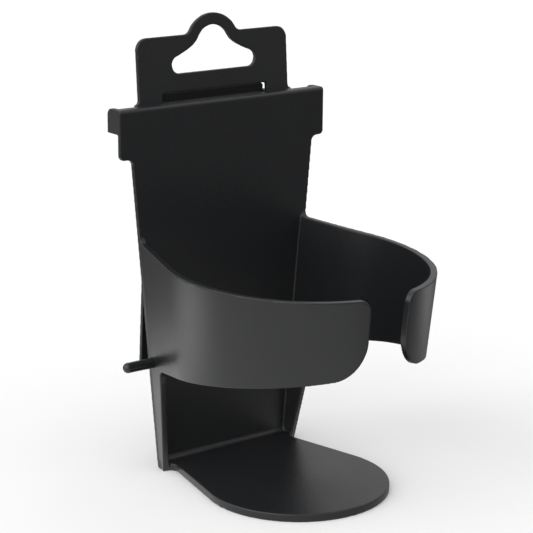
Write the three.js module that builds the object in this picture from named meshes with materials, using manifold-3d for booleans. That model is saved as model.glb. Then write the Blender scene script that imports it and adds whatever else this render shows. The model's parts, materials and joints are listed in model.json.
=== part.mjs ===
// Hanging cup holder: a moulded body that hangs by the bar across its top, with a hinged blade behind it.
// Millimetres, +Z up. The origin is the centre of the round base, on its underside; +Y is the back.

import * as THREE from 'three';
import { mergeGeometries, mergeVertices } from 'three/addons/utils/BufferGeometryUtils.js';
import Module from 'manifold-3d';

// ---- driving dimensions -------------------------------------------------------------------------------

const GAP = 0.3;                  // clearance between pieces that touch

const BASE_RADIUS = 35.3;         // round front of the base
const BASE_REACH = 46.2;          // from the back plate's front face to the centre of the round front
const BASE_THICKNESS = 3;
const BASE_FLARE = THREE.MathUtils.degToRad(12);   // angle of the base's straight sides to the middle plane
const BASE_NECK_RADIUS = 3.8;     // hollow corner between the base and the foot of each side wall
const FOOT_FILLET = 3;            // hollow corner between the base and the back plate
const HEEL_RADIUS = 3;            // rounded lower rear edge

const PLATE_THICKNESS = 1.9;
const FOOT_WIDTH = 62.2;          // back plate's width at the floor
const SIDE_TAPER = 0.089;         // how much each side moves out per millimetre of height
const WALL_THICKNESS = 2.6;       // side walls and arms

const RING_RADIUS = 49.5;         // half width of the arms' oval ring, at the height of ARM_TOP_BACK
const RING_TAPER = 0.095;         // how much it grows per millimetre of height
const RING_STRETCH = 1.12;        // the ring's length from front to back over its width
const RING_REACH = 44.9;          // from the back plate's front face to the centre of the arms' ring
const ARM_GAP = 17;               // opening between the arm ends
const ARM_TOP_BACK = 91.4;        // heights of the arms' edges, at the plate and at the front
const ARM_TOP_FRONT = 87.2;
const ARM_BOTTOM_BACK = 41.3;
const ARM_BOTTOM_FRONT = 59.6;
const ARM_TOP_CORNER = 4.5;       // corner radii of the arm ends
const ARM_BOTTOM_CORNER = 13;
const ARM_ROOT_FILLET = 2.5;      // hollow corner where the arm's top edge meets the plate
const FLANGE_DEPTH = 3.2;         // depth of the side wall in front of the plate, at the floor
const FLANGE_SLOPE = 0.138;       // how much deeper it gets per millimetre of height

const BAR_WIDTH = 95;
const BAR_TOP = 142.4;
const BAR_FRONT_HEIGHT = 18.9;
const BAR_DEPTH = 4.9;            // depth of its roof
const BAR_WALL = 2;
const BAR_NOSE_RADIUS = 1.6;      // front top edge
const BAR_CORNER = 2;
const CHEEK_DEPTH = 8.9;          // the cheeks close the bar's ends and stand out behind it
const CHEEK_HEIGHT = 9.3;
const CHEEK_THICKNESS = 2.2;
const CHEEK_RADIUS = 2;
const BAR_STEP_FILLET = 2.3;      // hollow corner under each end of the bar

const TAB_WIDTH = 69.4;
const TAB_THICKNESS = 1.7;
const TAB_SETBACK = 6.4;          // from the bar's front face to the tab's
const TAB_SHOULDER = 24.4;        // shoulder height over the bar
const TAB_CORNER = 4.5;
const TAB_LEAN = THREE.MathUtils.degToRad(4);
const TAB_WINDOW_WIDTH = 48.6;    // opening between the two legs
const TAB_WINDOW_HEIGHT = 3.1;
const TAB_HUMP_RADIUS = 12.2;
const SLOT_TOP_RADIUS = 7.7;
const SLOT_CROWN = 19.6;          // height of the round top's centre over the bar
const SLOT_FLOOR = 10.1;          // height of the slot's flat bottom over the bar
const SLOT_LOBE_RADIUS = 3.3;
const SLOT_WIDTH = 38.6;

const ROD_RADIUS = 1.25;
const HINGE_SETBACK = 9.8;        // from the bar's front face to the hinge axis
const HINGE_DROP = 3.4;           // hinge axis below the bar's top
const BLADE_WIDTH = 58.4;
const BLADE_THICKNESS = 1.6;
const BLADE_LENGTH = 104;         // from the hinge axis to the lower end
const BLADE_SHOULDER = 5.2;       // from the hinge axis down to where the blade gets its full width
const BLADE_HEEL = 6.2;           // from the hinge axis to the upper end, which swings into the tab's window
const BLADE_CORNER = 2.5;
const BLADE_LEAN = THREE.MathUtils.degToRad(3.8);
const BARREL_WALL = 1.05;
const SIDE_PLAY = 0.4;            // clearance at each side of the barrel and the heel
const LUG_WIDTH = 4;
const LUG_WALL = 2;               // material round the rod in the bar's lugs

const PEG_RADIUS = 2;
const PEG_LENGTH = 13.2;          // what stands out of the side wall
const PEG_HEIGHT = 44.6;
const PEG_FORWARD = 2.5;          // in front of the plate's front face
const PEG_BOSS_RADIUS = 3.9;
const PEG_BOSS_LENGTH = 3.2;      // inside the wall

// ---- sizes that follow ----------------------------------------------------------------------------------

const barBottom = BAR_TOP - BAR_FRONT_HEIGHT;
const barHalf = BAR_WIDTH / 2;
const barrelRadius = ROD_RADIUS + GAP + BARREL_WALL;
const hinge = new THREE.Vector3(0, BASE_REACH + HINGE_SETBACK, BAR_TOP - HINGE_DROP);
const lugInner = TAB_WINDOW_WIDTH / 2;
const barrelHalf = lugInner - SIDE_PLAY;
const rodHalf = lugInner + LUG_WIDTH;

const halfWidth = (z) => FOOT_WIDTH / 2 + SIDE_TAPER * z;
const ringRadius = (z) => RING_RADIUS + RING_TAPER * (z - ARM_TOP_BACK);

// The side wall is straight from the plate's edge, and tangent to the ring. This is where on the ring it
// meets it, as an angle in the plan before the plan is stretched from a round ring to the oval one.
function meetAngle(z) {
  const roundReach = RING_REACH / RING_STRETCH;
  const distance = Math.hypot(halfWidth(z), roundReach);
  return Math.atan2(roundReach, halfWidth(z)) - Math.acos(ringRadius(z) / distance);
}

// Angle of the side wall to the middle plane.
const flare = (z) => Math.atan(Math.tan(meetAngle(z)) / RING_STRETCH);

// ---- solids ---------------------------------------------------------------------------------------------

const wasm = await Module();
wasm.setup();

function solid(geometry) {
  const bare = geometry.clone();
  for (const name of Object.keys(bare.attributes)) if (name !== 'position') bare.deleteAttribute(name);
  const merged = mergeVertices(bare.index ? bare : mergeVertices(bare), 1e-5);
  return new wasm.Manifold(new wasm.Mesh({
    numProp: 3,
    vertProperties: new Float32Array(merged.attributes.position.array),
    triVerts: new Uint32Array(merged.index.array),
  }));
}

function geometryOf(manifold) {
  const mesh = manifold.getMesh();
  const geometry = new THREE.BufferGeometry();
  geometry.setAttribute('position', new THREE.BufferAttribute(new Float32Array(mesh.vertProperties), 3));
  geometry.setIndex(new THREE.BufferAttribute(new Uint32Array(mesh.triVerts), 1));
  return geometry;
}

function joinAll(solids) {
  return solids.reduce((whole, piece) => whole.add(piece));
}

// A closed skin through rings of points, all with the same number of points, closed by a fan at each end.
function skin(rings) {
  const count = rings[0].length;
  const positions = rings.flat().flatMap((p) => [p.x, p.y, p.z]);
  const index = [];
  for (let i = 0; i + 1 < rings.length; i += 1) {
    for (let j = 0; j < count; j += 1) {
      const a = i * count + j;
      const b = i * count + ((j + 1) % count);
      index.push(a, b, a + count, b, b + count, a + count);
    }
  }
  const last = (rings.length - 1) * count;
  for (let j = 1; j + 1 < count; j += 1) {
    index.push(0, j + 1, j);
    index.push(last, last + j, last + j + 1);
  }
  const geometry = new THREE.BufferGeometry();
  geometry.setAttribute('position', new THREE.Float32BufferAttribute(positions, 3));
  geometry.setIndex(index);
  return geometry;
}

const flipped = (geometry) => {
  const index = geometry.index.array;
  for (let i = 0; i < index.length; i += 3) [index[i], index[i + 1]] = [index[i + 1], index[i]];
  return geometry;
};

// Extrudes an outline drawn in X and Z towards the back, from y to y + depth.
function slab(outline, y, depth, curveSegments = 8) {
  const geometry = new THREE.ExtrudeGeometry(outline, { depth, bevelEnabled: false, curveSegments });
  return geometry.rotateX(Math.PI / 2).translate(0, y + depth, 0);
}

// Extrudes an outline drawn in Y and Z along X, from x to x + length.
function bar(outline, x, length, curveSegments = 6) {
  const geometry = new THREE.ExtrudeGeometry(outline, { depth: length, bevelEnabled: false, curveSegments });
  const turn = new THREE.Matrix4().makeBasis(
    new THREE.Vector3(0, 1, 0), new THREE.Vector3(0, 0, 1), new THREE.Vector3(1, 0, 0));
  return geometry.applyMatrix4(turn).translate(x, 0, 0);
}

function polygon(points) {
  return new THREE.Shape(points.map(([a, b]) => new THREE.Vector2(a, b)));
}

function cylinderAlongX(radius, from, to, y, z, segments = 20) {
  return new THREE.CylinderGeometry(radius, radius, to - from, segments)
    .rotateZ(Math.PI / 2).translate((from + to) / 2, y, z);
}

// ---- holder body ----------------------------------------------------------------------------------------

// Back plate and the front of the bar, in one outline.
function plateOutline() {
  const tuck = 1;                            // below the arms' tops the side walls cover the plate's edges
  const armTop = ARM_TOP_BACK - ARM_ROOT_FILLET;
  const stepZ = barBottom - BAR_STEP_FILLET;
  const edge = halfWidth(stepZ);
  const crown = BAR_TOP - BAR_WALL;
  const right = new THREE.Shape();
  right.moveTo(0, 0);
  right.lineTo(halfWidth(0) - tuck, 0);
  right.lineTo(halfWidth(armTop) - tuck, armTop);
  right.lineTo(halfWidth(armTop + 1), armTop + 1);
  right.lineTo(edge, stepZ);
  right.absarc(edge + BAR_STEP_FILLET, stepZ, BAR_STEP_FILLET, Math.PI, Math.PI / 2, true);
  right.absarc(barHalf - BAR_CORNER, barBottom + BAR_CORNER, BAR_CORNER, -Math.PI / 2, 0, false);
  right.lineTo(barHalf, crown);
  const half = right.getPoints(4);
  const left = half.slice(1).reverse().map((p) => new THREE.Vector2(-p.x, p.y));
  return new THREE.Shape([...half, ...left]);
}

// The bar across the top: a front wall and a short roof, closed at each end by a cheek.
function hangBar() {
  const front = BASE_REACH;
  const inside = BAR_TOP - BAR_WALL;
  const edge = 0.6;
  const profile = new THREE.Shape();
  profile.moveTo(front, inside - BAR_WALL);
  profile.lineTo(front + PLATE_THICKNESS, inside - BAR_WALL);
  profile.lineTo(front + PLATE_THICKNESS, inside);
  profile.lineTo(front + BAR_DEPTH, inside);
  profile.lineTo(front + BAR_DEPTH, BAR_TOP - edge);
  profile.lineTo(front + BAR_DEPTH - edge, BAR_TOP);
  profile.absarc(front + BAR_NOSE_RADIUS, BAR_TOP - BAR_NOSE_RADIUS, BAR_NOSE_RADIUS, Math.PI / 2, Math.PI, false);
  const cheekFront = front + PLATE_THICKNESS / 2;
  const cheekBack = front + CHEEK_DEPTH;
  const cheekBottom = BAR_TOP - CHEEK_HEIGHT;
  const cheek = new THREE.Shape();
  cheek.moveTo(cheekFront, cheekBottom);
  cheek.lineTo(cheekBack, cheekBottom);
  cheek.absarc(cheekBack - CHEEK_RADIUS, BAR_TOP - CHEEK_RADIUS, CHEEK_RADIUS, 0, Math.PI / 2, false);
  cheek.lineTo(front + BAR_NOSE_RADIUS, BAR_TOP);
  cheek.lineTo(cheekFront, inside);
  const cheeks = [-barHalf, barHalf - CHEEK_THICKNESS].map((x) => solid(bar(cheek, x, CHEEK_THICKNESS)));
  return joinAll([solid(bar(profile, -barHalf, BAR_WIDTH, 4)), ...cheeks]);
}

// Behind the roof, a block carries each leg of the tab, and a lug under it holds an end of the hinge rod.
function legBlocks() {
  const front = BASE_REACH + BAR_DEPTH - BAR_WALL / 2;
  const back = BASE_REACH + TAB_SETBACK + TAB_THICKNESS;
  const width = (TAB_WIDTH - TAB_WINDOW_WIDTH) / 2;
  const block = polygon([
    [front, BAR_TOP - BAR_WALL], [back, BAR_TOP - BAR_WALL], [back, BAR_TOP], [front, BAR_TOP]]);
  const radius = ROD_RADIUS + GAP + LUG_WALL;
  const lug = new THREE.Shape();
  lug.moveTo(back - TAB_THICKNESS / 2, hinge.z - LUG_WALL);
  lug.absarc(hinge.y, hinge.z, radius, -Math.PI / 2, Math.PI / 2, false);
  lug.lineTo(back - TAB_THICKNESS, BAR_TOP - BAR_WALL / 2);
  lug.lineTo(back - TAB_THICKNESS, BAR_TOP - BAR_WALL);
  return joinAll([-1, 1].flatMap((side) => {
    const blockFrom = side > 0 ? lugInner : -lugInner - width;
    const lugFrom = side > 0 ? lugInner : -rodHalf;
    return [solid(bar(block, blockFrom, width)), solid(bar(lug, lugFrom, LUG_WIDTH))];
  }));
}

// The base: a round front that narrows to the foot, with the hollow corners at the side walls.
function baseShelf() {
  const tangentX = BASE_RADIUS * Math.cos(BASE_FLARE);
  const tangentY = BASE_RADIUS * Math.sin(BASE_FLARE);
  const neckY = BASE_REACH - FLANGE_DEPTH - 0.3;
  const neckX = tangentX - (neckY - BASE_NECK_RADIUS - tangentY) * Math.tan(BASE_FLARE);
  const outline = new THREE.Shape();
  outline.absarc(0, 0, BASE_RADIUS, -Math.PI / 2, BASE_FLARE, false);
  outline.lineTo(neckX, neckY - BASE_NECK_RADIUS);
  outline.absarc(neckX + BASE_NECK_RADIUS, neckY - BASE_NECK_RADIUS, BASE_NECK_RADIUS, Math.PI, Math.PI / 2, true);
  outline.lineTo(neckX + BASE_NECK_RADIUS, BASE_REACH + PLATE_THICKNESS / 2);
  const half = outline.getPoints(20);
  const mirrored = half.slice(1).reverse().map((p) => new THREE.Vector2(-p.x, p.y));
  const shape = new THREE.Shape([...half, ...mirrored]);
  return solid(new THREE.ExtrudeGeometry(shape, { depth: BASE_THICKNESS, bevelEnabled: false }));
}

function footFillet() {
  const y = BASE_REACH;
  const corner = new THREE.Shape();
  corner.moveTo(y + 0.5, BASE_THICKNESS - 0.5);
  corner.lineTo(y + 0.5, BASE_THICKNESS + FOOT_FILLET);
  corner.lineTo(y, BASE_THICKNESS + FOOT_FILLET);
  corner.absarc(y - FOOT_FILLET, BASE_THICKNESS + FOOT_FILLET, FOOT_FILLET, 0, -Math.PI / 2, true);
  corner.lineTo(y - FOOT_FILLET, BASE_THICKNESS - 0.5);
  const half = halfWidth(0) - 1;
  return solid(bar(corner, -half, 2 * half, 5));
}

// Side wall and arm, in one skin of upright lines. Each line has a place along the plan: at the plate, on the
// straight flared wall, or on the ring. `along` is its distance from the plate, measured at mid height.
const midHeight = (ARM_TOP_FRONT + ARM_BOTTOM_FRONT) / 2;

function planPoint(along, z) {
  const meet = meetAngle(z);
  const radius = ringRadius(z);
  const onRing = (angle) => {
    const across = Math.cos(angle);
    const ahead = Math.sin(angle) / RING_STRETCH;
    const length = Math.hypot(across, ahead);
    return {
      x: radius * Math.cos(angle),
      y: -RING_REACH - RING_STRETCH * radius * Math.sin(angle),
      nx: across / length,
      ny: -ahead / length,
    };
  };
  const { straight, round } = armLength();
  if (along <= 0) return { x: halfWidth(z), y: -along, nx: 1, ny: 0 };
  if (along >= straight) return onRing(-meet + ((along - straight) / round) * (Math.PI / 2 + meet));
  const tangent = onRing(-meet);
  const share = along / straight;
  const start = halfWidth(z);
  return { ...tangent, x: start + (tangent.x - start) * share, y: tangent.y * share };
}

function armLength() {
  const middle = ringRadius(midHeight);
  const meet = meetAngle(midHeight);
  const straight = (RING_REACH - RING_STRETCH * middle * Math.sin(meet)) / Math.cos(flare(midHeight));
  const round = middle * ((1 + RING_STRETCH) / 2) * (Math.PI / 2 + meet);
  const open = Math.asin(ARM_GAP / 2 / middle) / (Math.PI / 2 + meet);
  return { straight, round, end: straight + round * (1 - open), front: straight + round };
}

const roundedBy = (radius, distance) => (
  distance >= radius ? 0 : radius - Math.sqrt(radius ** 2 - (radius - distance) ** 2));

function armEdges(along) {
  const { end, front } = armLength();
  const share = along / front;
  const rise = Math.max(0, 1 - share / 0.8) ** 2;
  const topEdge = ARM_TOP_FRONT + (ARM_TOP_BACK - ARM_TOP_FRONT) * rise;
  const bottomEdge = ARM_BOTTOM_BACK + (ARM_BOTTOM_FRONT - ARM_BOTTOM_BACK) * share * (1.35 - 0.35 * share);
  const top = topEdge + roundedBy(ARM_ROOT_FILLET, Math.max(along, 0)) - roundedBy(ARM_TOP_CORNER, end - along);
  const underFlange = (along * Math.cos(flare(midHeight)) - FLANGE_DEPTH) / FLANGE_SLOPE;
  const bottom = Math.min(Math.max(0, underFlange), bottomEdge + roundedBy(ARM_BOTTOM_CORNER, end - along));
  return { top, bottom };
}

function sideWall(side) {
  const { end } = armLength();
  const slant = Math.cos(flare(midHeight));
  const flangeEdge = (FLANGE_DEPTH + FLANGE_SLOPE * ARM_BOTTOM_BACK) / slant;
  const stations = [-PLATE_THICKNESS, 0, 0.4, 1.2, ARM_ROOT_FILLET, FLANGE_DEPTH / slant,
    flangeEdge, flangeEdge + 0.5];
  const cornerStart = end - ARM_BOTTOM_CORNER;
  const steps = 30;
  for (let i = 1; i <= steps; i += 1) {
    stations.push(flangeEdge + 0.5 + (cornerStart - flangeEdge - 0.5) * (i / steps));
  }
  const cornerSteps = 10;
  for (let i = 1; i <= cornerSteps; i += 1) {
    stations.push(end - ARM_BOTTOM_CORNER * (1 - Math.sin((i / cornerSteps) * (Math.PI / 2))));
  }
  const rings = stations.map((along) => {
    const { top, bottom } = armEdges(along);
    const place = (z, inset) => {
      const p = planPoint(along, z);
      return new THREE.Vector3(side * (p.x - inset * p.nx), BASE_REACH + p.y - inset * p.ny, z);
    };
    return [place(bottom, 0), place(top, 0), place(top, WALL_THICKNESS), place(bottom, WALL_THICKNESS)];
  });
  const geometry = skin(rings);
  return solid(side > 0 ? geometry : flipped(geometry));
}

function pegPlace(side) {
  const y = BASE_REACH - PEG_FORWARD;
  const face = halfWidth(PEG_HEIGHT) + PEG_FORWARD * Math.tan(flare(PEG_HEIGHT));
  return { side, y, face, z: PEG_HEIGHT };
}

function pegBoss(side) {
  const { y, face, z } = pegPlace(side);
  const inner = face - WALL_THICKNESS - PEG_BOSS_LENGTH;
  const outer = face - WALL_THICKNESS / 2;
  const [from, to] = side > 0 ? [inner, outer] : [-outer, -inner];
  return solid(cylinderAlongX(PEG_BOSS_RADIUS, from, to, y, z));
}

function holderBody() {
  const plate = solid(slab(plateOutline(), BASE_REACH, PLATE_THICKNESS));
  const whole = joinAll([
    plate, hangBar(), legBlocks(), baseShelf(), footFillet(),
    sideWall(1), sideWall(-1), pegBoss(1), pegBoss(-1)]);
  const far = BAR_WIDTH;
  const rear = BASE_REACH + PLATE_THICKNESS;
  const heel = new THREE.Shape();
  heel.moveTo(rear + 1, -1);
  heel.lineTo(rear + 1, HEEL_RADIUS);
  heel.lineTo(rear, HEEL_RADIUS);
  heel.absarc(rear - HEEL_RADIUS, HEEL_RADIUS, HEEL_RADIUS, 0, -Math.PI / 2, true);
  heel.lineTo(rear - HEEL_RADIUS, -1);
  const rodBore = cylinderAlongX(ROD_RADIUS + GAP, -rodHalf - 1, rodHalf + 1, hinge.y, hinge.z);
  const pegBore = ({ side, y, face, z }) => {
    const from = face - WALL_THICKNESS - PEG_BOSS_LENGTH - 2;
    return solid(cylinderAlongX(PEG_RADIUS + GAP, side > 0 ? from : -far, side > 0 ? far : -from, y, z));
  };
  const cuts = joinAll([
    solid(bar(heel, -far / 2, far)), solid(rodBore), pegBore(pegPlace(1)), pegBore(pegPlace(-1))]);
  return geometryOf(whole.subtract(cuts));
}

// ---- hang tab -------------------------------------------------------------------------------------------

// Drawn flat, with Z = 0 at the top of the bar.
function tabOutline() {
  const half = TAB_WIDTH / 2;
  const legInner = TAB_WINDOW_WIDTH / 2;
  const right = new THREE.Shape();
  right.moveTo(0, TAB_WINDOW_HEIGHT);
  right.lineTo(legInner, TAB_WINDOW_HEIGHT);
  right.lineTo(legInner, GAP);
  right.lineTo(half, GAP);
  right.absarc(half - TAB_CORNER, TAB_SHOULDER - TAB_CORNER, TAB_CORNER, 0, Math.PI / 2, false);
  const neck = 3;                              // hollow corner between shoulder and hump
  const lift = TAB_SHOULDER + neck - SLOT_CROWN;
  const neckX = Math.sqrt((TAB_HUMP_RADIUS + neck) ** 2 - lift ** 2);
  const angle = Math.atan2(lift, neckX);
  right.absarc(neckX, TAB_SHOULDER + neck, neck, -Math.PI / 2, angle - Math.PI, true);
  right.absarc(0, SLOT_CROWN, TAB_HUMP_RADIUS, angle, Math.PI / 2, false);
  const points = right.getPoints(7);
  const left = points.slice(1, -1).reverse().map((p) => new THREE.Vector2(-p.x, p.y));
  return new THREE.Shape([...points, ...left]);
}

function slotOutline() {
  const lobeX = SLOT_WIDTH / 2 - SLOT_LOBE_RADIUS;
  const lobeZ = SLOT_FLOOR + SLOT_LOBE_RADIUS;
  const right = new THREE.Shape();
  right.moveTo(0, SLOT_FLOOR);
  right.absarc(lobeX, lobeZ, SLOT_LOBE_RADIUS, -Math.PI / 2, THREE.MathUtils.degToRad(63), false);
  const neckAngle = THREE.MathUtils.degToRad(28);
  const neckX = SLOT_TOP_RADIUS * Math.cos(neckAngle);
  const neckZ = SLOT_CROWN + SLOT_TOP_RADIUS * Math.sin(neckAngle);
  right.quadraticCurveTo(neckX + 1.6, neckZ - 3.6, neckX, neckZ);
  right.absarc(0, SLOT_CROWN, SLOT_TOP_RADIUS, neckAngle, Math.PI / 2, false);
  const points = right.getPoints(7);
  const left = points.slice(1, -1).reverse().map((p) => new THREE.Vector2(-p.x, p.y));
  return new THREE.Shape([...points, ...left]);
}

function hangTab() {
  const plate = solid(slab(tabOutline(), 0, TAB_THICKNESS));
  return geometryOf(plate.subtract(solid(slab(slotOutline(), -1, TAB_THICKNESS + 2))));
}

// ---- hinged blade, rod and pegs -------------------------------------------------------------------------

// Drawn upright, with the hinge axis at the origin.
function rearBlade() {
  const half = BLADE_WIDTH / 2;
  const corner = BLADE_CORNER;
  const heel = 1.5;                            // corner radius of the heel
  const right = new THREE.Shape();
  right.moveTo(0, -BLADE_LENGTH);
  right.absarc(half - corner, -BLADE_LENGTH + corner, corner, -Math.PI / 2, 0, false);
  right.absarc(half - corner, -BLADE_SHOULDER - corner, corner, 0, Math.PI / 2, false);
  right.lineTo(barrelHalf, -BLADE_SHOULDER);
  right.absarc(barrelHalf - heel, BLADE_HEEL - heel, heel, 0, Math.PI / 2, false);
  right.lineTo(0, BLADE_HEEL);
  const points = right.getPoints(5);
  const left = points.slice(1, -1).reverse().map((p) => new THREE.Vector2(-p.x, p.y));
  const plate = solid(slab(new THREE.Shape([...points, ...left]), -BLADE_THICKNESS / 2, BLADE_THICKNESS));
  const barrel = solid(cylinderAlongX(barrelRadius, -barrelHalf, barrelHalf, 0, 0, 24));
  const bore = solid(cylinderAlongX(ROD_RADIUS + GAP, -barrelHalf - 1, barrelHalf + 1, 0, 0));
  return geometryOf(plate.add(barrel).subtract(bore));
}

function hingeRod() {
  return cylinderAlongX(ROD_RADIUS, -rodHalf, rodHalf, 0, 0);
}

// A pin with a round end, lying along X with its round end at +X and its wall face at X = 0.
function sidePeg() {
  const inside = WALL_THICKNESS + PEG_BOSS_LENGTH;
  const profile = new THREE.Path();
  profile.moveTo(0, -inside);
  profile.lineTo(PEG_RADIUS, -inside);
  profile.absarc(0, PEG_LENGTH - PEG_RADIUS, PEG_RADIUS, 0, Math.PI / 2, false);
  const points = profile.getPoints(5);
  points[points.length - 1].x = 0;
  return new THREE.LatheGeometry(points, 20).rotateZ(-Math.PI / 2);
}

// ---- assembly -------------------------------------------------------------------------------------------

const mouldedBlack = new THREE.MeshStandardMaterial({ color: 0x2b2c2e, roughness: 0.55, metalness: 0 });
const glossyBlack = new THREE.MeshStandardMaterial({ color: 0x1d1e20, roughness: 0.25, metalness: 0 });
const steel = new THREE.MeshStandardMaterial({ color: 0x8d9094, roughness: 0.35, metalness: 1 });

function piece(name, geometry, material) {
  const mesh = new THREE.Mesh(geometry, material);
  mesh.name = name;
  return mesh;
}

const group = new THREE.Group();
group.add(piece('holder_body', holderBody(), mouldedBlack));

const tab = piece('hang_tab', hangTab(), mouldedBlack);
tab.position.set(0, BASE_REACH + TAB_SETBACK, BAR_TOP);
tab.rotation.x = -TAB_LEAN;
group.add(tab);

const hingeGroup = new THREE.Group();
hingeGroup.position.copy(hinge);
const blade = piece('rear_blade', rearBlade(), mouldedBlack);
blade.rotation.x = BLADE_LEAN;
hingeGroup.add(blade, piece('hinge_rod', hingeRod(), steel));
group.add(hingeGroup);

for (const [name, side] of [['side_peg_right', 1], ['side_peg_left', -1]]) {
  const { y, face, z } = pegPlace(side);
  const peg = piece(name, sidePeg(), glossyBlack);
  peg.position.set(side * face, y, z);
  if (side < 0) peg.rotation.z = Math.PI;
  group.add(peg);
}

export default group;
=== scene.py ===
import bmesh
import bpy
import json
import math
from mathutils import Matrix, Vector
from mathutils.geometry import tessellate_polygon


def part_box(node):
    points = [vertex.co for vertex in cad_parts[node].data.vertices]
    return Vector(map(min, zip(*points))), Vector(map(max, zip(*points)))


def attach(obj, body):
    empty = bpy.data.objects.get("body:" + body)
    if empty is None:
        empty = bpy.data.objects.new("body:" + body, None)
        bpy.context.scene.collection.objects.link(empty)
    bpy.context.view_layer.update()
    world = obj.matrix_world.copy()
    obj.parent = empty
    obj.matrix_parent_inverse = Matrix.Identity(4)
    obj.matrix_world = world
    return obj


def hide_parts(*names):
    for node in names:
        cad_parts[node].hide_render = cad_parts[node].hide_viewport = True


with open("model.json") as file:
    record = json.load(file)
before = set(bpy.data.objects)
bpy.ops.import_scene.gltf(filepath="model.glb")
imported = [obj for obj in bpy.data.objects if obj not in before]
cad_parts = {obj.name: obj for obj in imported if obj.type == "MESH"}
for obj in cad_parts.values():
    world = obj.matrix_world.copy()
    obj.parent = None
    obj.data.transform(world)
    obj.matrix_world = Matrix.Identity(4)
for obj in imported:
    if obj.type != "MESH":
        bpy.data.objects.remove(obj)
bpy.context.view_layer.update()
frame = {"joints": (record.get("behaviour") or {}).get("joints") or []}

MM = 0.001

# ---- camera -------------------------------------------------------------------------------------------
# A long lens, a little above the holder, which stands turned so that its left side shows.
azimuth, elevation, roll = math.radians(36.96), math.radians(14.88), math.radians(0.41)
distance = 720 * MM
target = Vector((0, 19.7 * MM, 82.2 * MM))
ahead = Vector((
    math.sin(azimuth) * math.cos(elevation),
    math.cos(azimuth) * math.cos(elevation),
    -math.sin(elevation)))
right = Vector((math.cos(azimuth), -math.sin(azimuth), 0))
up = right.cross(ahead)
right, up = (
    right * math.cos(roll) + up * math.sin(roll),
    up * math.cos(roll) - right * math.sin(roll))
camera = bpy.data.objects.new("camera", bpy.data.cameras.new("camera"))
camera.data.lens = 129.1
camera.data.sensor_width = 36
camera.data.clip_start = 0.01
camera.matrix_world = Matrix.Translation(target - ahead * distance) @ Matrix(
    (right, up, -ahead)).transposed().to_4x4()
bpy.context.collection.objects.link(camera)
bpy.context.scene.camera = camera

# ---- holder body --------------------------------------------------------------------------------------
# One polypropylene moulding: back plate, round base, two arms round the cup, and the bar that hangs on the
# panel's top edge. It is drawn as overlapping walls in millimetres, then skinned over with soft edges.
BASE_RADIUS = 35.3
BASE_REACH = 46.2
BASE_THICKNESS = 3
BASE_FLARE = math.radians(12)
BASE_NECK_RADIUS = 3.8
BASE_NECK_SETBACK = 0.3           # from the flanges' front edges
FOOT_FILLET = 2
HEEL_RADIUS = 3

PLATE_THICKNESS = 1.9
FOOT_WIDTH = 62.2
SIDE_TAPER = 0.089
WALL_THICKNESS = 2.6

RING_RADIUS = 49.5
RING_TAPER = 0.095
RING_STRETCH = 1.12
RING_REACH = 44.9
ARM_GAP = 17
ARM_TOP_BACK = 91.4
ARM_TOP_FRONT = 87.2
ARM_BOTTOM_BACK = 41.3
ARM_BOTTOM_FRONT = 59.6
ARM_TOP_RUN = 0.8                 # the share of the arm along which its top edge comes down
ARM_BOTTOM_BOW = 0.35             # how much sooner the bottom edge rises than a straight one
ARM_TOP_CORNER = 4.5
ARM_BOTTOM_CORNER = 13
ARM_ROOT_FILLET = 2
FLANGE_DEPTH = 3.2
FLANGE_SLOPE = 0.138
FLANGE_CORNER = 3

BAR_TOP = 142.4
BAR_HALF = 47.5
BAR_FRONT_HEIGHT = 18.9
BAR_DEPTH = 4.9
BAR_WALL = 2
BAR_NOSE_RADIUS = 1.2
BAR_CORNER = 2
BAR_EDGE = 0.6
BAR_STEP_FILLET = 2.3
CHEEK_DEPTH = 8.9
CHEEK_HEIGHT = 9.3
CHEEK_THICKNESS = 2.2
CHEEK_RADIUS = 2.6

hinge = Vector(frame["joints"][0]["pos_m"]) / MM
rod_low, rod_high = (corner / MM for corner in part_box("hinge_rod"))
ROD_RADIUS = (rod_high.z - rod_low.z) / 2
LUG_WIDTH = 4
LUG_WALL = 2.3                    # round the rod, with its clearance
ROD_PLAY = 0.1
lug_inner = rod_high.x - LUG_WIDTH

TAB_SETBACK = 6.4
LEG_WIDTH = 10.4
LEG_THICKNESS = 1.7

PEG_HEIGHT = 44.6
PEG_FORWARD = 2.5
PEG_BOSS_RADIUS = 3.9
PEG_BOSS_LENGTH = 3.2

TUCK = 1                          # how far one wall runs into the next before they are skinned over
SKIN = 0.28                       # size of the skin's facets
SKIN_PASSES = 4                   # smoothing, which gives edges of about 0.25 mm radius


def arc(centre, radius, start, end, steps=12):
    """Points on an arc between two angles in degrees."""
    angles = (math.radians(start + (end - start) * i / steps) for i in range(steps + 1))
    return [(centre[0] + radius * math.cos(a), centre[1] + radius * math.sin(a)) for a in angles]


def circle(centre, radius):
    return arc(centre, radius, 0, 350, steps=35)


def mirrored(half):
    """A whole outline from its right half. A point on the middle line is not repeated."""
    on_middle = 1e-6
    return half + [(-x, y) for x, y in reversed(half) if x > on_middle]


def extrude(solid, loops, place, start, end):
    """Adds a closed prism to solid. The first loop is the outline and the others are holes in it."""
    points = [point for loop in loops for point in loop]
    low, high = ([solid.verts.new(place(a, b, c)) for a, b in points] for c in (start, end))
    for a, b, c in tessellate_polygon([[Vector((a, b, 0)) for a, b in loop] for loop in loops]):
        solid.faces.new((low[a], low[b], low[c]))
        solid.faces.new((high[c], high[b], high[a]))
    first = 0
    for loop in loops:
        for i in range(len(loop)):
            a, b = first + i, first + (i + 1) % len(loop)
            solid.faces.new((low[a], high[a], high[b], low[b]))
        first += len(loop)


# Where a point of an outline stands, for outlines drawn from the side, from the front and from above.
def across(y, z, x):
    return Vector((x, y, z))


def upright(x, z, y):
    return Vector((x, y, z))


def level(x, y, z):
    return Vector((x, y, z))


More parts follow.
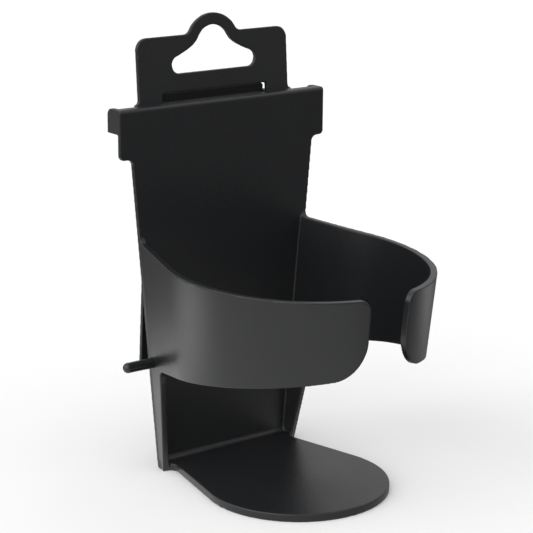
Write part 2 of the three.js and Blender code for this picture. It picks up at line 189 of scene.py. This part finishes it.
def moulding(name, solid, facet, passes, keep):
    """Skins overlapping closed walls as one mesh, rounds its edges, and thins out its flat stretches until
    only a share of its facets is kept."""
    bmesh.ops.recalc_face_normals(solid, faces=solid.faces)
    rough = bpy.data.meshes.new(name + "_walls")
    solid.to_mesh(rough)
    solid.free()
    draft = bpy.data.objects.new(name + "_walls", rough)
    bpy.context.collection.objects.link(draft)
    skin = draft.modifiers.new("skin", "REMESH")
    skin.mode = "VOXEL"
    skin.voxel_size = facet
    soften = draft.modifiers.new("soften", "SMOOTH")
    soften.factor = 0.5
    soften.iterations = passes
    thin = draft.modifiers.new("thin", "DECIMATE")
    thin.ratio = keep
    bpy.context.view_layer.update()
    mesh = bpy.data.meshes.new_from_object(draft.evaluated_get(bpy.context.evaluated_depsgraph_get()))
    bpy.data.objects.remove(draft)
    mesh.name = name
    mesh.transform(Matrix.Scale(MM, 4))
    mesh.shade_smooth()
    piece = bpy.data.objects.new(name, mesh)
    bpy.context.collection.objects.link(piece)
    return piece


def half_width(z):
    """From the middle plane to the plate's edge at a height."""
    return FOOT_WIDTH / 2 + SIDE_TAPER * z


def ring_radius(z):
    return RING_RADIUS + RING_TAPER * (z - ARM_TOP_BACK)


def meet_angle(z):
    """Where on the ring the straight side wall meets it, as an angle before the ring is stretched."""
    reach = RING_REACH / RING_STRETCH
    distance = math.hypot(half_width(z), reach)
    return math.atan2(reach, half_width(z)) - math.acos(ring_radius(z) / distance)


def flare(z):
    """The side wall's angle to the middle plane."""
    return math.atan(math.tan(meet_angle(z)) / RING_STRETCH)


def plate_outline():
    arm_top = ARM_TOP_BACK - ARM_ROOT_FILLET
    bar_bottom = BAR_TOP - BAR_FRONT_HEIGHT
    step = bar_bottom - BAR_STEP_FILLET
    edge = half_width(step)
    half = [(0, 0), (half_width(0) - TUCK, 0), (half_width(arm_top) - TUCK, arm_top)]
    half += [(half_width(arm_top + TUCK), arm_top + TUCK)]
    half += arc((edge + BAR_STEP_FILLET, step), BAR_STEP_FILLET, 180, 90)
    half += arc((BAR_HALF - BAR_CORNER, bar_bottom + BAR_CORNER), BAR_CORNER, -90, 0)
    half += [(BAR_HALF, BAR_TOP - BAR_WALL)]
    return mirrored(half)


def bar_profile():
    front, inside = BASE_REACH, BAR_TOP - BAR_WALL
    return [
        (front, inside - BAR_WALL), (front + PLATE_THICKNESS, inside - BAR_WALL),
        (front + PLATE_THICKNESS, inside), (front + BAR_DEPTH, inside),
        (front + BAR_DEPTH, BAR_TOP - BAR_EDGE), (front + BAR_DEPTH - BAR_EDGE, BAR_TOP),
        *arc((front + BAR_NOSE_RADIUS, BAR_TOP - BAR_NOSE_RADIUS), BAR_NOSE_RADIUS, 90, 180)]


def cheek_profile():
    front, back = BASE_REACH + PLATE_THICKNESS / 2, BASE_REACH + CHEEK_DEPTH
    bottom = BAR_TOP - CHEEK_HEIGHT
    return [
        (front, bottom), (back, bottom),
        *arc((back - CHEEK_RADIUS, BAR_TOP - CHEEK_RADIUS), CHEEK_RADIUS, 0, 90),
        (BASE_REACH + BAR_NOSE_RADIUS, BAR_TOP), (front, BAR_TOP - BAR_WALL)]


def leg_block():
    front, back = BASE_REACH + BAR_DEPTH - BAR_WALL / 2, BASE_REACH + TAB_SETBACK + LEG_THICKNESS
    return [(front, BAR_TOP - BAR_WALL), (back, BAR_TOP - BAR_WALL), (back, BAR_TOP), (front, BAR_TOP)]


def lug_profile():
    back = BASE_REACH + TAB_SETBACK + LEG_THICKNESS
    radius = ROD_RADIUS + LUG_WALL
    outline = [
        (back - LEG_THICKNESS / 2, hinge.z - LUG_WALL), *arc((hinge.y, hinge.z), radius, -90, 90),
        (back - LEG_THICKNESS, BAR_TOP - BAR_WALL / 2), (back - LEG_THICKNESS, BAR_TOP - BAR_WALL)]
    return [outline, circle((hinge.y, hinge.z), ROD_RADIUS + ROD_PLAY)]


def base_outline():
    tangent_x, tangent_y = BASE_RADIUS * math.cos(BASE_FLARE), BASE_RADIUS * math.sin(BASE_FLARE)
    neck_y = BASE_REACH - FLANGE_DEPTH - BASE_NECK_SETBACK
    neck_x = tangent_x - (neck_y - BASE_NECK_RADIUS - tangent_y) * math.tan(BASE_FLARE)
    half = arc((0, 0), BASE_RADIUS, -90, math.degrees(BASE_FLARE), steps=40)
    half += arc((neck_x + BASE_NECK_RADIUS, neck_y - BASE_NECK_RADIUS), BASE_NECK_RADIUS, 180, 90)
    half += [(neck_x + BASE_NECK_RADIUS, BASE_REACH + PLATE_THICKNESS / 2)]
    return mirrored(half)


def foot_corner():
    y, tuck = BASE_REACH, TUCK / 2
    return [
        (y + tuck, BASE_THICKNESS - tuck), (y + tuck, BASE_THICKNESS + FOOT_FILLET),
        *arc((y - FOOT_FILLET, BASE_THICKNESS + FOOT_FILLET), FOOT_FILLET, 0, -90),
        (y - FOOT_FILLET, BASE_THICKNESS - tuck)]


# Each side wall and its arm are one skin of upright lines. A line's place along the plan is its distance
# from the plate, measured at mid height: on the straight flared wall first, and then on the ring.
mid_height = (ARM_TOP_FRONT + ARM_BOTTOM_FRONT) / 2
mid_radius = ring_radius(mid_height)
mid_meet = meet_angle(mid_height)
mid_flare = flare(mid_height)
straight = (RING_REACH - RING_STRETCH * mid_radius * math.sin(mid_meet)) / math.cos(mid_flare)
full_turn = math.pi / 2 + mid_meet
curved = mid_radius * (1 + RING_STRETCH) / 2 * full_turn
arm_front = straight + curved
arm_end = arm_front - curved * math.asin(ARM_GAP / 2 / mid_radius) / full_turn
flange_edge = (FLANGE_DEPTH + FLANGE_SLOPE * ARM_BOTTOM_BACK) / math.cos(mid_flare)


def plan_point(along, z, inset):
    """The plan of a point on the side wall, this far in from its outer face."""
    radius, meet = ring_radius(z), meet_angle(z)

    def on_ring(angle):
        sideways, forward = math.cos(angle), math.sin(angle) / RING_STRETCH
        length = math.hypot(sideways, forward)
        x, y = radius * math.cos(angle), -RING_REACH - RING_STRETCH * radius * math.sin(angle)
        return x, y, sideways / length, -forward / length

    if along <= 0:
        x, y, normal_x, normal_y = half_width(z), -along, 1, 0
    elif along < straight:
        end_x, end_y, normal_x, normal_y = on_ring(-meet)
        share = along / straight
        x, y = half_width(z) + (end_x - half_width(z)) * share, end_y * share
    else:
        x, y, normal_x, normal_y = on_ring((along - straight) / curved * (math.pi / 2 + meet) - meet)
    return x - inset * normal_x, BASE_REACH + y - inset * normal_y


def rounded_by(radius, gap):
    """How far a round corner has drawn its edge in, at this gap from its end."""
    return 0 if gap >= radius else radius - math.sqrt(radius ** 2 - (radius - gap) ** 2)


def arm_edges(along):
    """The side wall's top and bottom edges, and how far the fillet at the arm's root rises over the top."""
    share = along / arm_front
    top_edge = ARM_TOP_FRONT + (ARM_TOP_BACK - ARM_TOP_FRONT) * max(0, 1 - share / ARM_TOP_RUN) ** 2
    risen = share * (1 + ARM_BOTTOM_BOW - ARM_BOTTOM_BOW * share)
    bottom_edge = ARM_BOTTOM_BACK + (ARM_BOTTOM_FRONT - ARM_BOTTOM_BACK) * risen
    top = top_edge - rounded_by(ARM_TOP_CORNER, arm_end - along)
    under_flange = (along * math.cos(mid_flare) - FLANGE_DEPTH) / FLANGE_SLOPE
    arm_under = bottom_edge + rounded_by(ARM_BOTTOM_CORNER, arm_end - along)
    bottom = min(max(0, under_flange), arm_under)
    past = along - flange_edge
    if 0 <= past < FLANGE_CORNER:
        bottom -= rounded_by(FLANGE_CORNER, past)
    return top, bottom, rounded_by(ARM_ROOT_FILLET, max(along, 0))


def wall_stations():
    """Places along the side wall, close together where the fillet and the corners turn fastest."""
    places = [-PLATE_THICKNESS, 0, 0.15, 0.4, 0.8, 1.2, 1.8, ARM_ROOT_FILLET]
    places += [FLANGE_DEPTH / math.cos(mid_flare)]
    steps = 15
    turns = [math.radians(90 * i / steps) for i in range(steps + 1)]
    places += [flange_edge + FLANGE_CORNER * (1 - math.cos(turn)) for turn in turns]
    first, last, steps = places[-1], arm_end - ARM_BOTTOM_CORNER, 70
    places += [first + (last - first) * i / steps for i in range(1, steps + 1)]
    steps = 24
    turns = [math.radians(90 * i / steps) for i in range(1, steps + 1)]
    places += [arm_end - ARM_BOTTOM_CORNER * (1 - math.sin(turn)) for turn in turns]
    return places


def side_wall(solid, side):
    rings = []
    for along in wall_stations():
        top, bottom, fillet = arm_edges(along)
        corners = (
            (bottom, 0), (top + fillet, 0), (top + fillet, WALL_THICKNESS / 2),
            (top, WALL_THICKNESS), (bottom, WALL_THICKNESS))
        ring = []
        for z, inset in corners:
            x, y = plan_point(along, z, inset)
            ring.append(solid.verts.new((side * x, y, z)))
        rings.append(ring)
    for near, far in zip(rings, rings[1:]):
        for i in range(len(near)):
            j = (i + 1) % len(near)
            solid.faces.new((near[i], near[j], far[j], far[i]))
    solid.faces.new(rings[0])
    solid.faces.new(rings[-1])


def peg_face():
    """From the middle plane to the side wall's outer face, where the peg leaves it."""
    return half_width(PEG_HEIGHT) + PEG_FORWARD * math.tan(flare(PEG_HEIGHT))


walls = bmesh.new()
extrude(walls, [plate_outline()], upright, BASE_REACH, BASE_REACH + PLATE_THICKNESS)
extrude(walls, [bar_profile()], across, -BAR_HALF, BAR_HALF)
extrude(walls, [base_outline()], level, 0, BASE_THICKNESS)
extrude(walls, [foot_corner()], across, TUCK - half_width(0), half_width(0) - TUCK)
for side in (-1, 1):
    extrude(walls, [cheek_profile()], across, side * (BAR_HALF - CHEEK_THICKNESS), side * BAR_HALF)
    extrude(walls, [leg_block()], across, side * lug_inner, side * (lug_inner + LEG_WIDTH))
    extrude(walls, lug_profile(), across, side * lug_inner, side * (lug_inner + LUG_WIDTH))
    side_wall(walls, side)
    boss = circle((BASE_REACH - PEG_FORWARD, PEG_HEIGHT), PEG_BOSS_RADIUS)
    inner = peg_face() - WALL_THICKNESS - PEG_BOSS_LENGTH
    extrude(walls, [boss], across, side * inner, side * (peg_face() - WALL_THICKNESS / 2))
holder = moulding("holder_moulding", walls, SKIN, SKIN_PASSES, keep=0.13)

# The corner under the plate is rounded, and the gate where the plastic went in leaves a small dimple on the
# base's top face.
gate = Vector((11.9, 37.4))
gate_radius = 1.1
gate_depth = 0.35
top_face_margin = 0.3
heel_y = BASE_REACH + PLATE_THICKNESS - HEEL_RADIUS
for vertex in holder.data.vertices:
    x, y, z = vertex.co / MM
    if y > heel_y and z < HEEL_RADIUS:
        away = Vector((y - heel_y, z - HEEL_RADIUS))
        if away.length > HEEL_RADIUS:
            away *= HEEL_RADIUS / away.length
            vertex.co.y = (heel_y + away.x) * MM
            vertex.co.z = (HEEL_RADIUS + away.y) * MM
    gap = (Vector((x, y)) - gate).length / gate_radius
    if gap < 1 and abs(z - BASE_THICKNESS) < top_face_margin:
        vertex.co.z -= gate_depth * (1 - gap ** 2) * MM


def linear(code):
    """An sRGB colour written as six hex digits, as linear RGBA."""
    parts = (int(code[i:i + 2], 16) / 255 for i in (0, 2, 4))
    return (*(c / 12.92 if c <= 0.04045 else ((c + 0.055) / 1.055) ** 2.4 for c in parts), 1)


def add(tree, kind, inputs=None, **settings):
    """Adds a node. Its settings are its own, and each input takes a value or another node's socket."""
    node = tree.nodes.new(kind)
    for name, value in settings.items():
        setattr(node, name, value)
    for name, value in (inputs or {}).items():
        if isinstance(value, bpy.types.NodeSocket):
            tree.links.new(value, node.inputs[name])
        else:
            node.inputs[name].default_value = value
    return node


def blank(name):
    material = bpy.data.materials.new(name)
    material.use_nodes = True
    material.node_tree.nodes.clear()
    return material, material.node_tree


def per_metre(size_mm):
    """The noise scale that gives features of this size."""
    return 1 / (size_mm * MM)


# The mix node has sockets for numbers and for colours under the same names, so they go by their places.
NUMBER_A, NUMBER_B = 2, 3
COLOUR_A, COLOUR_B = 6, 7
NUMBER_OUT, COLOUR_OUT = 0, 2


def spark_eroded_plastic(name, dark, light, roughness, grain_mm, depth_mm):
    """Black moulded polypropylene. The mould's spark-eroded steel leaves a fine even grain, which spreads
    highlights into a satin sheen, and slow changes in gloss show where the plastic flowed and cooled."""
    flow_mm = 38
    mottle_mm = 1.6
    flow_gloss = 0.03
    grain_gloss = 0.08
    material, tree = blank(name)
    place = add(tree, "ShaderNodeTexCoord").outputs["Object"]
    flow = add(tree, "ShaderNodeTexNoise", {"Vector": place, "Scale": per_metre(flow_mm), "Detail": 2.0})
    mottle = add(tree, "ShaderNodeTexNoise", {
        "Vector": place, "Scale": per_metre(mottle_mm), "Detail": 3.0})
    grain = add(tree, "ShaderNodeTexNoise", {
        "Vector": place, "Scale": per_metre(grain_mm), "Detail": 2.0, "Roughness": 0.6})
    colour = add(tree, "ShaderNodeMix", {
        "Factor": mottle.outputs["Fac"], COLOUR_A: linear(dark), COLOUR_B: linear(light)}, data_type="RGBA")
    slow = add(tree, "ShaderNodeMapRange", {
        "Value": flow.outputs["Fac"], "From Min": 0.3, "From Max": 0.7,
        "To Min": roughness - flow_gloss, "To Max": roughness + flow_gloss})
    fine = add(tree, "ShaderNodeMath", {
        0: grain.outputs["Fac"], 1: grain_gloss, 2: slow.outputs["Result"]}, operation="MULTIPLY_ADD")
    bump = add(tree, "ShaderNodeBump", {
        "Height": grain.outputs["Fac"], "Strength": 1.0, "Distance": depth_mm * MM})
    shader = add(tree, "ShaderNodeBsdfPrincipled", {
        "Base Color": colour.outputs[COLOUR_OUT], "Roughness": fine.outputs["Value"],
        "Normal": bump.outputs["Normal"], "IOR": 1.49})
    add(tree, "ShaderNodeOutputMaterial", {"Surface": shader.outputs["BSDF"]})
    return material


# The grain is 0.15 mm in the real mould, and is drawn at 0.8 mm so that it shows.
holder.data.materials.append(spark_eroded_plastic(
    "moulded_polypropylene_satin", dark="18191b", light="1e1f21", roughness=0.30, grain_mm=0.8,
    depth_mm=0.06))
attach(holder, "holder")
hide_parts("holder_body")

# ---- hang tab -----------------------------------------------------------------------------------------
# The flat shop tab over the bar, with the usual wide hook slot. It is moulded on by its two legs, which
# spread a little where they run into the roof, and it leans back.
TAB_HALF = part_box("hang_tab")[1].x / MM
TAB_LEAN = math.radians(4)
TAB_THICKNESS = LEG_THICKNESS
TAB_SHOULDER = 24.4
TAB_CORNER = 4.5
TAB_HUMP_RADIUS = 12.2
TAB_HUMP_NECK = 3
TAB_WINDOW_HEIGHT = 3.1
TAB_WINDOW_CORNER = 0.8
LEG_FLARE = 1.6
LEG_SINK = 1.2
SLOT_TOP_RADIUS = 7.7
SLOT_CROWN = 19.6
SLOT_FLOOR = 10.1
SLOT_LOBE_RADIUS = 3.3
SLOT_HALF = 19.3
SLOT_CROWN_START = 28             # degrees, where the crown's arc and the lobe's arc end and the slot's
SLOT_LOBE_END = 63                # edge bends across from one to the other
SLOT_BEND_OUT = 1.6
SLOT_BEND_DOWN = 3.6
TAB_SKIN = 0.26
TAB_SKIN_PASSES = 6


def curve_to(start, control, end, steps=10):
    """Points after start on a quadratic curve."""
    points = []
    for i in range(1, steps + 1):
        t = i / steps
        weights = ((1 - t) ** 2, 2 * t * (1 - t), t * t)
        points.append(tuple(
            weights[0] * a + weights[1] * b + weights[2] * c for a, b, c in zip(start, control, end)))
    return points


def tab_outline():
    rise = TAB_SHOULDER + TAB_HUMP_NECK - SLOT_CROWN
    neck_x = math.sqrt((TAB_HUMP_RADIUS + TAB_HUMP_NECK) ** 2 - rise ** 2)
    meet = math.degrees(math.atan2(rise, neck_x))
    corner_x, corner_z = lug_inner - TAB_WINDOW_CORNER, TAB_WINDOW_HEIGHT - TAB_WINDOW_CORNER
    half = [(0, TAB_WINDOW_HEIGHT), (corner_x, TAB_WINDOW_HEIGHT)]
    half += arc((corner_x, corner_z), TAB_WINDOW_CORNER, 90, 0, steps=4)
    half += [(lug_inner, -LEG_SINK), (TAB_HALF + LEG_FLARE, -LEG_SINK)]
    half += arc((TAB_HALF + LEG_FLARE, LEG_FLARE), LEG_FLARE, -90, -180)
    half += arc((TAB_HALF - TAB_CORNER, TAB_SHOULDER - TAB_CORNER), TAB_CORNER, 0, 90)
    half += arc((neck_x, TAB_SHOULDER + TAB_HUMP_NECK), TAB_HUMP_NECK, -90, meet - 180)
    half += arc((0, SLOT_CROWN), TAB_HUMP_RADIUS, meet, 90, steps=24)
    return mirrored(half)


def slot_outline():
    lobe = (SLOT_HALF - SLOT_LOBE_RADIUS, SLOT_FLOOR + SLOT_LOBE_RADIUS)
    crown = arc((0, SLOT_CROWN), SLOT_TOP_RADIUS, SLOT_CROWN_START, 90, steps=24)
    bend = (crown[0][0] + SLOT_BEND_OUT, crown[0][1] - SLOT_BEND_DOWN)
    half = [(0, SLOT_FLOOR)] + arc(lobe, SLOT_LOBE_RADIUS, -90, SLOT_LOBE_END, steps=18)
    half += curve_to(half[-1], bend, crown[0])[:-1] + crown
    return mirrored(half)


tab_walls = bmesh.new()
extrude(tab_walls, [tab_outline(), slot_outline()], upright, 0, TAB_THICKNESS)
tab_foot = Matrix.Translation((0, BASE_REACH + TAB_SETBACK, BAR_TOP))
bmesh.ops.transform(tab_walls, verts=tab_walls.verts, matrix=tab_foot @ Matrix.Rotation(-TAB_LEAN, 4, "X"))
tab = moulding("hang_tab_moulding", tab_walls, TAB_SKIN, TAB_SKIN_PASSES, keep=0.35)
tab.data.materials.append(holder.data.materials[0])
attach(tab, "holder")
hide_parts("hang_tab")

# ---- rear blade ---------------------------------------------------------------------------------------
# A flat polypropylene leaf that swings behind the plate and keeps the holder off the panel. Its barrel
# turns on the hinge rod, and its heel reaches up into the tab's window. Drawn with the hinge at zero.
BLADE_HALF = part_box("rear_blade")[1].x / MM
BLADE_THICKNESS = 1.6
BLADE_LENGTH = 104
BLADE_SHOULDER = 5.2
BLADE_HEEL = 6.2
BLADE_CORNER = 2.5
HEEL_CORNER = 1.3
HEEL_OVERHANG = 0.3               # past each end of the barrel
BLADE_LEAN = math.radians(3.8)
BARREL_RADIUS = 2.6
BARREL_BORE = ROD_RADIUS + 0.3
SIDE_PLAY = 0.4
barrel_half = lug_inner - SIDE_PLAY


def leaf_outline():
    corner_x = BLADE_HALF - BLADE_CORNER
    half = [(0, -BLADE_LENGTH)] + arc((corner_x, BLADE_CORNER - BLADE_LENGTH), BLADE_CORNER, -90, 0)
    half += arc((corner_x, -BLADE_SHOULDER - BLADE_CORNER), BLADE_CORNER, 0, 90)
    half += [(barrel_half, -BLADE_SHOULDER), (barrel_half, -BARREL_BORE)]
    return mirrored(half)


def heel_outline():
    heel_half = barrel_half + HEEL_OVERHANG
    half = [(heel_half, BARREL_BORE)]
    half += arc((heel_half - HEEL_CORNER, BLADE_HEEL - HEEL_CORNER), HEEL_CORNER, 0, 90)
    return mirrored(half)


leaf = bmesh.new()
half_leaf = BLADE_THICKNESS / 2
extrude(leaf, [leaf_outline()], upright, -half_leaf, half_leaf)
extrude(leaf, [heel_outline()], upright, -half_leaf, half_leaf)
barrel = [circle((0, 0), BARREL_RADIUS), circle((0, 0), BARREL_BORE)]
extrude(leaf, barrel, across, -barrel_half, barrel_half)
bmesh.ops.transform(
    leaf, verts=leaf.verts, matrix=Matrix.Translation(hinge) @ Matrix.Rotation(BLADE_LEAN, 4, "X"))
blade = moulding("rear_blade_leaf", leaf, SKIN, SKIN_PASSES, keep=0.25)
blade.data.materials.append(spark_eroded_plastic(
    "moulded_polypropylene_leaf", dark="151617", light="1a1b1c", roughness=0.42, grain_mm=0.8,
    depth_mm=0.05))
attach(blade, "blade")
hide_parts("rear_blade")

# ---- hinge rod ----------------------------------------------------------------------------------------
# A length of drawn steel wire, cut and chamfered at its ends, and pushed through the lugs and the barrel.
ROD_CHAMFER = 0.25


def turned(name, profile, steps=48):
    """A piece turned round X, from its profile of (x, radius) points in millimetres."""
    lathe = bmesh.new()
    rings = []
    for x, radius in profile:
        turn = (2 * math.pi * i / steps for i in range(steps))
        rings.append([lathe.verts.new((x, radius * math.cos(a), radius * math.sin(a))) for a in turn])
    for near, far in zip(rings, rings[1:]):
        for i in range(steps):
            j = (i + 1) % steps
            lathe.faces.new((near[i], near[j], far[j], far[i]))
    lathe.faces.new(rings[0])
    lathe.faces.new(rings[-1])
    bmesh.ops.recalc_face_normals(lathe, faces=lathe.faces)
    mesh = bpy.data.meshes.new(name)
    lathe.to_mesh(mesh)
    lathe.free()
    mesh.transform(Matrix.Scale(MM, 4))
    mesh.shade_smooth()
    mesh.set_sharp_from_angle(angle=math.radians(40))
    piece = bpy.data.objects.new(name, mesh)
    bpy.context.collection.objects.link(piece)
    return piece


def drawn_steel(name):
    """Bright drawn wire. The die leaves fine lines along it, which stretch highlights round the rod."""
    line_mm = 0.2
    shortened = (0.02, 1, 1)
    material, tree = blank(name)
    place = add(tree, "ShaderNodeTexCoord").outputs["Object"]
    along = add(tree, "ShaderNodeVectorMath", {0: place, 1: shortened}, operation="MULTIPLY")
    lines = add(tree, "ShaderNodeTexNoise", {
        "Vector": along.outputs["Vector"], "Scale": per_metre(line_mm), "Detail": 3.0})
    gloss = add(tree, "ShaderNodeMapRange", {
        "Value": lines.outputs["Fac"], "From Min": 0.3, "From Max": 0.7, "To Min": 0.22, "To Max": 0.38})
    bump = add(tree, "ShaderNodeBump", {
        "Height": lines.outputs["Fac"], "Strength": 0.6, "Distance": 0.01 * MM})
    shader = add(tree, "ShaderNodeBsdfPrincipled", {
        "Base Color": linear("b4b6b8"), "Metallic": 1.0, "Roughness": gloss.outputs["Result"],
        "Normal": bump.outputs["Normal"]})
    add(tree, "ShaderNodeOutputMaterial", {"Surface": shader.outputs["BSDF"]})
    return material


rod = turned("hinge_rod_wire", [
    (rod_low.x, ROD_RADIUS - ROD_CHAMFER), (rod_low.x + ROD_CHAMFER, ROD_RADIUS),
    (rod_high.x - ROD_CHAMFER, ROD_RADIUS), (rod_high.x, ROD_RADIUS - ROD_CHAMFER)])
rod.data.transform(Matrix.Translation((0, hinge.y * MM, hinge.z * MM)))
rod.data.materials.append(drawn_steel("drawn_steel_wire"))
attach(rod, "holder")
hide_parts("hinge_rod")

# ---- side pegs ----------------------------------------------------------------------------------------
# A short pin with a round end on each side wall, in a boss inside it. It comes from a polished part of the
# mould, and spreads a little where it leaves the wall.
PEG_FILLET = 0.4
PEG_CHAMFER = 0.2                 # at its inner end
PEG_TIP_FLAT = 0.02               # the lathe's last and smallest ring


def polished_plastic(name):
    """Black polypropylene from a polished cavity, glossy, with faint rings from turning the cavity."""
    cloud_mm = 1.2
    ring_mm = 8
    material, tree = blank(name)
    place = add(tree, "ShaderNodeTexCoord").outputs["Object"]
    cloud = add(tree, "ShaderNodeTexNoise", {"Vector": place, "Scale": per_metre(cloud_mm), "Detail": 3.0})
    gloss = add(tree, "ShaderNodeMapRange", {
        "Value": cloud.outputs["Fac"], "From Min": 0.3, "From Max": 0.7, "To Min": 0.26, "To Max": 0.36})
    rings = add(tree, "ShaderNodeTexWave", {
        "Vector": place, "Scale": per_metre(ring_mm), "Distortion": 0.4}, bands_direction="X")
    bump = add(tree, "ShaderNodeBump", {
        "Height": rings.outputs["Fac"], "Strength": 0.2, "Distance": 0.01 * MM})
    colour = add(tree, "ShaderNodeMix", {
        "Factor": cloud.outputs["Fac"], COLOUR_A: linear("1c1d1e"), COLOUR_B: linear("222325")},
        data_type="RGBA")
    shader = add(tree, "ShaderNodeBsdfPrincipled", {
        "Base Color": colour.outputs[COLOUR_OUT], "Roughness": gloss.outputs["Result"],
        "Normal": bump.outputs["Normal"], "IOR": 1.49})
    add(tree, "ShaderNodeOutputMaterial", {"Surface": shader.outputs["BSDF"]})
    return material


peg_finish = polished_plastic("polished_polypropylene")
for node_name, side in (("side_peg_right", 1), ("side_peg_left", -1)):
    low, high = (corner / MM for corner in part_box(node_name))
    radius = (high.z - low.z) / 2
    middle = (low + high) / 2
    inner, tip = sorted((abs(low.x), abs(high.x)))
    profile = [(inner, radius - PEG_CHAMFER), (inner + PEG_CHAMFER, radius)]
    profile += [(peg_face() - TUCK, radius + PEG_FILLET)]
    profile += arc((peg_face() + PEG_FILLET, radius + PEG_FILLET), PEG_FILLET, 180, 270, steps=6)
    profile += [(x, max(y, PEG_TIP_FLAT)) for x, y in arc((tip - radius, 0), radius, 90, 0, steps=16)]
    peg = turned(node_name + "_pin", [(side * x, y) for x, y in profile])
    peg.data.transform(Matrix.Translation((0, middle.y * MM, middle.z * MM)))
    peg.data.materials.append(peg_finish)
    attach(peg, "holder")
    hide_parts(node_name)

# ---- studio -------------------------------------------------------------------------------------------
# A small light tent: a white paper floor, white air that is brighter overhead, and a big softbox at the
# left. To the eye the floor is plain white, and to glossy rays it glows with a painted map of soft patches
# of light and shade, which the glossy plastic mirrors as painted reflections.
FLOOR_HALF = 6
floor_mesh = bpy.data.meshes.new("floor")
floor_mesh.from_pydata([
    (-FLOOR_HALF, -FLOOR_HALF, 0), (FLOOR_HALF, -FLOOR_HALF, 0),
    (FLOOR_HALF, FLOOR_HALF, 0), (-FLOOR_HALF, FLOOR_HALF, 0)], [], [(0, 1, 2, 3)])
floor = bpy.data.objects.new("floor", floor_mesh)
bpy.context.collection.objects.link(floor)
paper, tree = blank("white_paper_floor")
place = add(tree, "ShaderNodeNewGeometry").outputs["Position"]


def patch(x, y, near, far, inside, outside):
    """A round patch of painted light on the floor's glow, fading from one value to another between two
    distances. A negative patch is painted shade.
    """
    away = add(tree, "ShaderNodeVectorMath", {0: place, 1: (x, y, 0)}, operation="DISTANCE")
    fade = add(tree, "ShaderNodeMapRange", {
        "Value": away.outputs["Value"], "From Min": near, "From Max": far,
        "To Min": inside, "To Max": outside}, interpolation_type="SMOOTHSTEP")
    return fade.outputs["Result"]


# The first is painted light on the floor round the holder. The others add painted light to it or take it
# away
# as painted shade: a glow behind at the left, a painted shadow for the holder's own shade, a glow at the
# right, a painted dim place in front, and painted light at the tent's far left corner.
painted_mirror_light = patch(-0.09, -0.07, near=0.19, far=0.33, inside=1.15, outside=0.18)
for other in (
        patch(-0.17, 0.165, near=0.0, far=0.11, inside=1.9, outside=0.0),
        patch(0.07, -0.03, near=0.02, far=0.16, inside=-0.8, outside=0.0),
        patch(0.27, -0.02, near=0.0, far=0.11, inside=1.25, outside=0.0),
        patch(0.11, -0.17, near=0.0, far=0.12, inside=-0.9, outside=0.0),
        patch(-0.43, 0.60, near=0.10, far=0.35, inside=0.7, outside=0.0)):
    total = add(tree, "ShaderNodeMath", {0: painted_mirror_light, 1: other})
    painted_mirror_light = total.outputs["Value"]

# For bounced light the paper is painted darker than the eye sees it: painted shade that keeps the holder's
# undersides dark.
SEEN_WHITE = 0.9
PAINTED_SHADE_WHITE = 0.2
path = add(tree, "ShaderNodeLightPath")
white = add(tree, "ShaderNodeMix", {
    "Factor": path.outputs["Is Diffuse Ray"], NUMBER_A: SEEN_WHITE, NUMBER_B: PAINTED_SHADE_WHITE},
    data_type="FLOAT")
seen = add(tree, "ShaderNodeBsdfDiffuse", {"Color": white.outputs[NUMBER_OUT]})
# The floor's glow is painted light and shade that only glossy rays see, so the plastic shows it as painted
# reflections.
painted_glow = add(tree, "ShaderNodeEmission", {"Color": (1, 1, 1, 1), "Strength": painted_mirror_light})
both = add(tree, "ShaderNodeMixShader", {
    0: path.outputs["Is Glossy Ray"], 1: seen.outputs["BSDF"], 2: painted_glow.outputs["Emission"]})
add(tree, "ShaderNodeOutputMaterial", {"Surface": both.outputs["Shader"]})
floor.data.materials.append(paper)

world = bpy.data.worlds.new("light_tent")
world.use_nodes = True
tree = world.node_tree
tree.nodes.clear()
ray = add(tree, "ShaderNodeTexCoord").outputs["Generated"]
height = add(tree, "ShaderNodeSeparateXYZ", {0: ray})
sky = add(tree, "ShaderNodeMapRange", {
    "Value": height.outputs["Z"], "From Min": 0.0, "From Max": 0.8, "To Min": 0.38, "To Max": 1.05})
toward = add(tree, "ShaderNodeVectorMath", {0: ray, 1: (-0.95, -0.04, 0.30)}, operation="DOT_PRODUCT")
softbox = add(tree, "ShaderNodeMapRange", {
    "Value": toward.outputs["Value"], "From Min": 0.6, "From Max": 0.95, "To Min": 0.0, "To Max": 1.8},
    interpolation_type="SMOOTHSTEP")
lit = add(tree, "ShaderNodeMath", {0: sky.outputs["Result"], 1: softbox.outputs["Result"]})
path = add(tree, "ShaderNodeLightPath")
strength = add(tree, "ShaderNodeMix", {
    "Factor": path.outputs["Is Camera Ray"], NUMBER_A: lit.outputs["Value"], NUMBER_B: 1.0},
    data_type="FLOAT")
air = add(tree, "ShaderNodeBackground", {"Color": (1, 1, 1, 1), "Strength": strength.outputs[NUMBER_OUT]})
add(tree, "ShaderNodeOutputWorld", {"Surface": air.outputs["Background"]})
bpy.context.scene.world = world
bpy.context.scene.view_settings.view_transform = "Standard"
